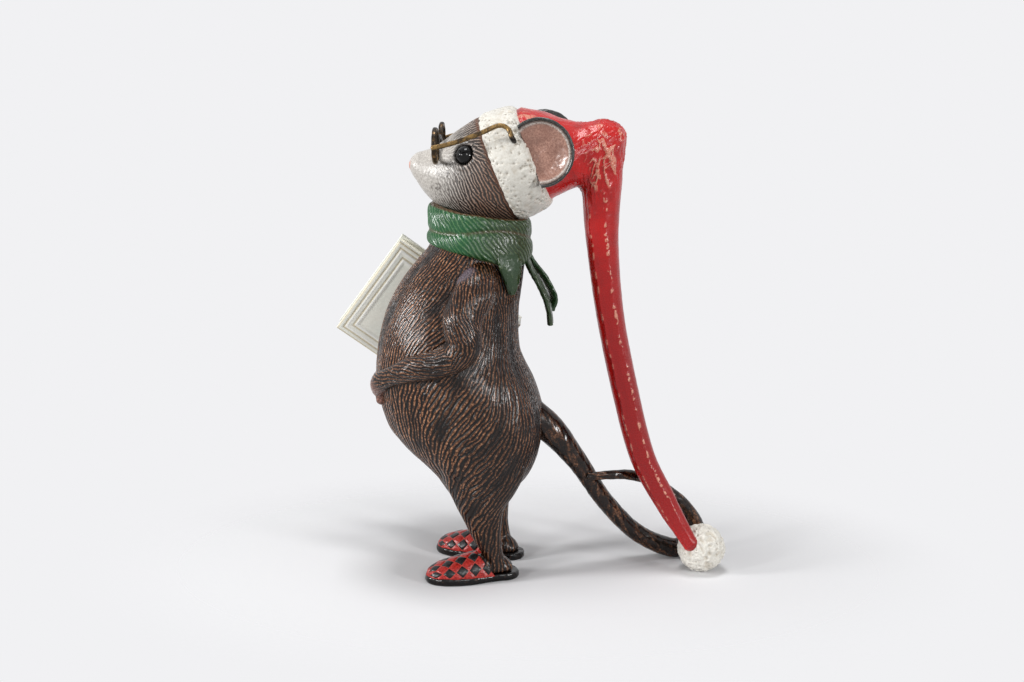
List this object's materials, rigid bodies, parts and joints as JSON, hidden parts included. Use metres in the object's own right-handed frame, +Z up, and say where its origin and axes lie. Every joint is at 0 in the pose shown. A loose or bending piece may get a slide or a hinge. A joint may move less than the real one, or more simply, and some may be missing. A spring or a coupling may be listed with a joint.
{
  "type": "mouse figurine",
  "caption": "Standing mouse in a long folded cap with a pompom, scarf, wire spectacles and slippers, a book under its arm; a painted shelf ornament.",
  "frame": {"origin": "middle of the bounding box's footprint, on the surface that the figurine stands on", "axes": "+Z up, -Y the way the mouse faces, +X its left side"},
  "size_m": [0.0726, 0.1276, 0.1479],
  "materials": {
    "fur_brown": "satin dark brown with copper brushed ridges",
    "head_grey": "satin grey brown, cream at the muzzle",
    "tail_brown": "satin dark brown with copper flecks",
    "ear_pink": "satin pink brown",
    "cap_red": "glossy red enamel",
    "cap_white": "satin white enamel, stippled",
    "scarf_green": "glossy green enamel with copper edges",
    "eye_black": "glossy black enamel",
    "wire_brass": "polished, darkened in the recesses",
    "sole_black": "glossy black enamel",
    "slipper_check": "glossy red and black checks",
    "book_cream": "satin cream with gold brown rules",
    "page_white": "satin pale cream"
  },
  "bodies": {
    "root": {"body": "fur_brown", "head": "head_grey", "left_arm": "fur_brown", "right_arm": "fur_brown", "tail": "tail_brown", "hat_crown": "cap_red", "hat_cuff": "cap_white", "hat_pompom": "cap_white", "scarf_wrap": "scarf_green", "scarf_fold": "scarf_green", "scarf_end_left": "scarf_green", "scarf_end_right": "scarf_green", "left_eye": "eye_black", "right_eye": "eye_black", "left_ear": "ear_pink", "right_ear": "ear_pink", "left_temple": "wire_brass", "right_temple": "wire_brass", "left_rim": "wire_brass", "right_rim": "wire_brass", "bridge": "wire_brass", "left_slipper_sole": "sole_black", "right_slipper_sole": "sole_black", "left_slipper_upper": "slipper_check", "right_slipper_upper": "slipper_check", "book_cover": "book_cream", "book_pages": "page_white"}
  },
  "joints": []
}
